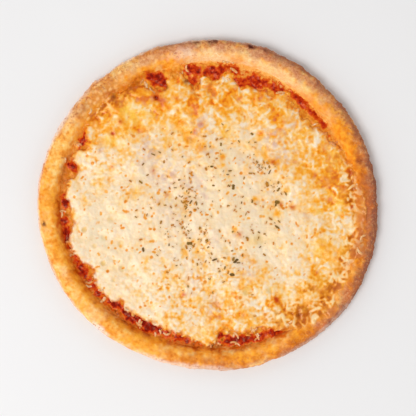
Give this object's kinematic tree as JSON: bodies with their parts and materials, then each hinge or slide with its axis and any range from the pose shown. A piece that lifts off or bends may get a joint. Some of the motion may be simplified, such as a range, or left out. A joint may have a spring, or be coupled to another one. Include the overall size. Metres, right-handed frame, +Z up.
{
  "type": "margherita pizza",
  "caption": "Whole round baked pizza with a raised uneven crust, tomato sauce showing round the edge, and melted mozzarella with dried oregano.",
  "frame": {"origin": "middle of the flat underside, on the surface that the pizza rests on", "axes": "+Z up through the pizza; +X to the right and +Y away from the viewer who looks down on it, with the cheese running over the rim on the +X side"},
  "size_m": [0.2722, 0.2648, 0.017],
  "materials": {
    "crust": "baked wheat dough, golden brown and pale in turn, with a few small scorched spots and dusty flour",
    "tomato_sauce": "cooked tomato sauce, deep red, wet and oily",
    "cheese": "melted mozzarella, cream with yellow and orange oil, and dark green oregano flakes baked onto it"
  },
  "bodies": {
    "root": {"crust": "crust", "tomato_sauce": "tomato_sauce", "cheese": "cheese"}
  },
  "joints": []
}
